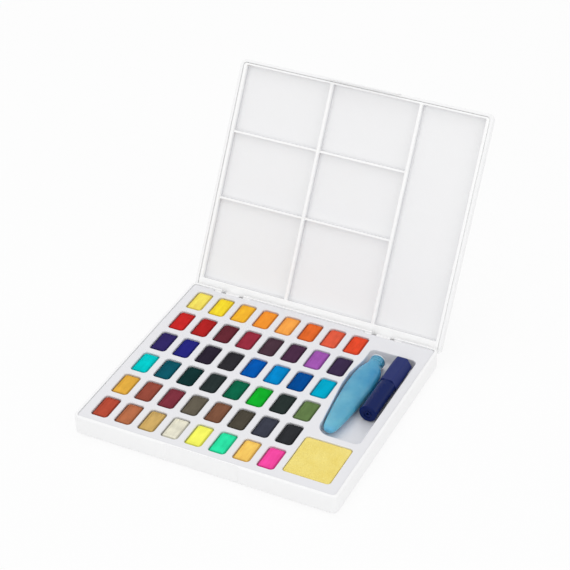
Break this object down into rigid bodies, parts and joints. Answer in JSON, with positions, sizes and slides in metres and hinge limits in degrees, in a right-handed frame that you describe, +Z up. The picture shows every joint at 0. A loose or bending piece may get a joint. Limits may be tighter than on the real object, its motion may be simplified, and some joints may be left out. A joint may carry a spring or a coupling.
{
  "type": "watercolour paint box",
  "caption": "Flat white paint box with a hinged lid, rows of coloured paint cakes, a mixing palette in the lid, a water brush taken apart in a trough and a sponge.",
  "frame": {"origin": "middle of the tub's underside", "axes": "+X to the right, +Y to the back where the hinges are, +Z up; the lid is open at rest"},
  "size_m": [0.2194, 0.2974, 0.1803],
  "materials": {
    "shell_white": "smooth moulded white",
    "insert_white": "smooth moulded white",
    "pin_steel": "plain",
    "reservoir_blue": "translucent light blue",
    "plug_white": "plain",
    "grip_navy": "satin navy",
    "cap_navy": "glossy navy",
    "ferrule_white": "plain",
    "tuft_fibre": "fine fibre",
    "sponge_yellow": "porous",
    "paint_lemon_yellow": "pressed paint, matt",
    "paint_cadmium_yellow": "pressed paint, matt",
    "paint_golden_yellow": "pressed paint, matt",
    "paint_deep_yellow": "pressed paint, matt",
    "paint_apricot": "pressed paint, matt",
    "paint_orange": "pressed paint, matt",
    "paint_vermilion": "pressed paint, matt",
    "paint_scarlet": "pressed paint, matt",
    "paint_red": "pressed paint, matt",
    "paint_carmine": "pressed paint, matt",
    "paint_maroon": "pressed paint, matt",
    "paint_crimson": "pressed paint, matt",
    "paint_aubergine": "pressed paint, matt",
    "paint_plum": "pressed paint, matt",
    "paint_lilac": "pressed paint, matt",
    "paint_violet": "pressed paint, matt",
    "paint_indigo": "pressed paint, matt",
    "paint_ultramarine": "pressed paint, matt",
    "paint_night_violet": "pressed paint, matt",
    "paint_blue_black": "pressed paint, matt",
    "paint_cobalt": "pressed paint, matt",
    "paint_azure": "pressed paint, matt",
    "paint_cerulean": "pressed paint, matt",
    "paint_turquoise": "pressed paint, matt",
    "paint_aqua": "pressed paint, matt",
    "paint_petrol": "pressed paint, matt",
    "paint_teal": "pressed paint, matt",
    "paint_black_green": "pressed paint, matt",
    "paint_emerald": "pressed paint, matt",
    "paint_leaf_green": "pressed paint, matt",
    "paint_pine": "pressed paint, matt",
    "paint_olive": "pressed paint, matt",
    "paint_ochre": "pressed paint, matt",
    "paint_sienna": "pressed paint, matt",
    "paint_oxide_red": "pressed paint, matt",
    "paint_raw_umber": "pressed paint, matt",
    "paint_chestnut": "pressed paint, matt",
    "paint_sepia": "pressed paint, matt",
    "paint_slate": "pressed paint, matt",
    "paint_black": "pressed paint, matt",
    "paint_copper_red": "pressed paint, metallic sheen",
    "paint_copper": "pressed paint, metallic sheen",
    "paint_gold": "pressed paint, metallic sheen",
    "paint_silver": "pressed paint, metallic sheen",
    "paint_neon_yellow": "pressed paint, matt",
    "paint_neon_green": "pressed paint, matt",
    "paint_neon_orange": "pressed paint, matt",
    "paint_neon_pink": "pressed paint, matt"
  },
  "bodies": {
    "base": {"base_shell": "shell_white", "pan_tray": "insert_white", "hinge_pins": "pin_steel", "paint_lemon_yellow": "paint_lemon_yellow", "paint_cadmium_yellow": "paint_cadmium_yellow", "paint_golden_yellow": "paint_golden_yellow", "paint_deep_yellow": "paint_deep_yellow", "paint_apricot": "paint_apricot", "paint_orange": "paint_orange", "paint_vermilion": "paint_vermilion", "paint_scarlet": "paint_scarlet", "paint_red": "paint_red", "paint_carmine": "paint_carmine", "paint_maroon": "paint_maroon", "paint_crimson": "paint_crimson", "paint_aubergine": "paint_aubergine", "paint_plum": "paint_plum", "paint_lilac": "paint_lilac", "paint_violet": "paint_violet", "paint_indigo": "paint_indigo", "paint_ultramarine": "paint_ultramarine", "paint_night_violet": "paint_night_violet", "paint_blue_black": "paint_blue_black", "paint_cobalt": "paint_cobalt", "paint_azure": "paint_azure", "paint_cerulean": "paint_cerulean", "paint_turquoise": "paint_turquoise", "paint_aqua": "paint_aqua", "paint_petrol": "paint_petrol", "paint_teal": "paint_teal", "paint_black_green": "paint_black_green", "paint_emerald": "paint_emerald", "paint_leaf_green": "paint_leaf_green", "paint_pine": "paint_pine", "paint_olive": "paint_olive", "paint_ochre": "paint_ochre", "paint_sienna": "paint_sienna", "paint_oxide_red": "paint_oxide_red", "paint_raw_umber": "paint_raw_umber", "paint_chestnut": "paint_chestnut", "paint_sepia": "paint_sepia", "paint_slate": "paint_slate", "paint_black": "paint_black", "paint_copper_red": "paint_copper_red", "paint_copper": "paint_copper", "paint_gold": "paint_gold", "paint_silver": "paint_silver", "paint_neon_yellow": "paint_neon_yellow", "paint_neon_green": "paint_neon_green", "paint_neon_orange": "paint_neon_orange", "paint_neon_pink": "paint_neon_pink"},
    "lid": {"lid_shell": "shell_white"},
    "palette": {"mixing_palette": "insert_white"},
    "reservoir": {"brush_reservoir": "reservoir_blue", "reservoir_plug": "plug_white"},
    "brush": {"brush_grip": "grip_navy", "brush_ferrule": "ferrule_white", "brush_tuft": "tuft_fibre"},
    "cap": {"brush_cap": "cap_navy"},
    "sponge": {"sponge": "sponge_yellow"}
  },
  "joints": [
    {"name": "lid_hinge", "type": "hinge", "parent": "base", "child": "lid", "pos_m": [0, 0.095, 0.01334], "axis": [-1, 0, 0], "range_deg": [-120, 0]},
    {"name": "palette_tilt", "type": "hinge", "parent": "lid", "child": "palette", "pos_m": [0, 0.0986, 0.01184], "axis": [1, 0, 0], "range_deg": [0, 40]},
    {"name": "reservoir_lift", "type": "slide", "parent": "base", "child": "reservoir", "axis": [0, 0, 1], "range_m": [0, 0.05]},
    {"name": "brush_lift", "type": "slide", "parent": "base", "child": "brush", "axis": [0, 0, 1], "range_m": [0, 0.05]},
    {"name": "cap_pull", "type": "slide", "parent": "brush", "child": "cap", "axis": [0, -1, 0], "range_m": [0, 0.036]},
    {"name": "sponge_lift", "type": "slide", "parent": "base", "child": "sponge", "axis": [0, 0, 1], "range_m": [0, 0.05]}
  ]
}
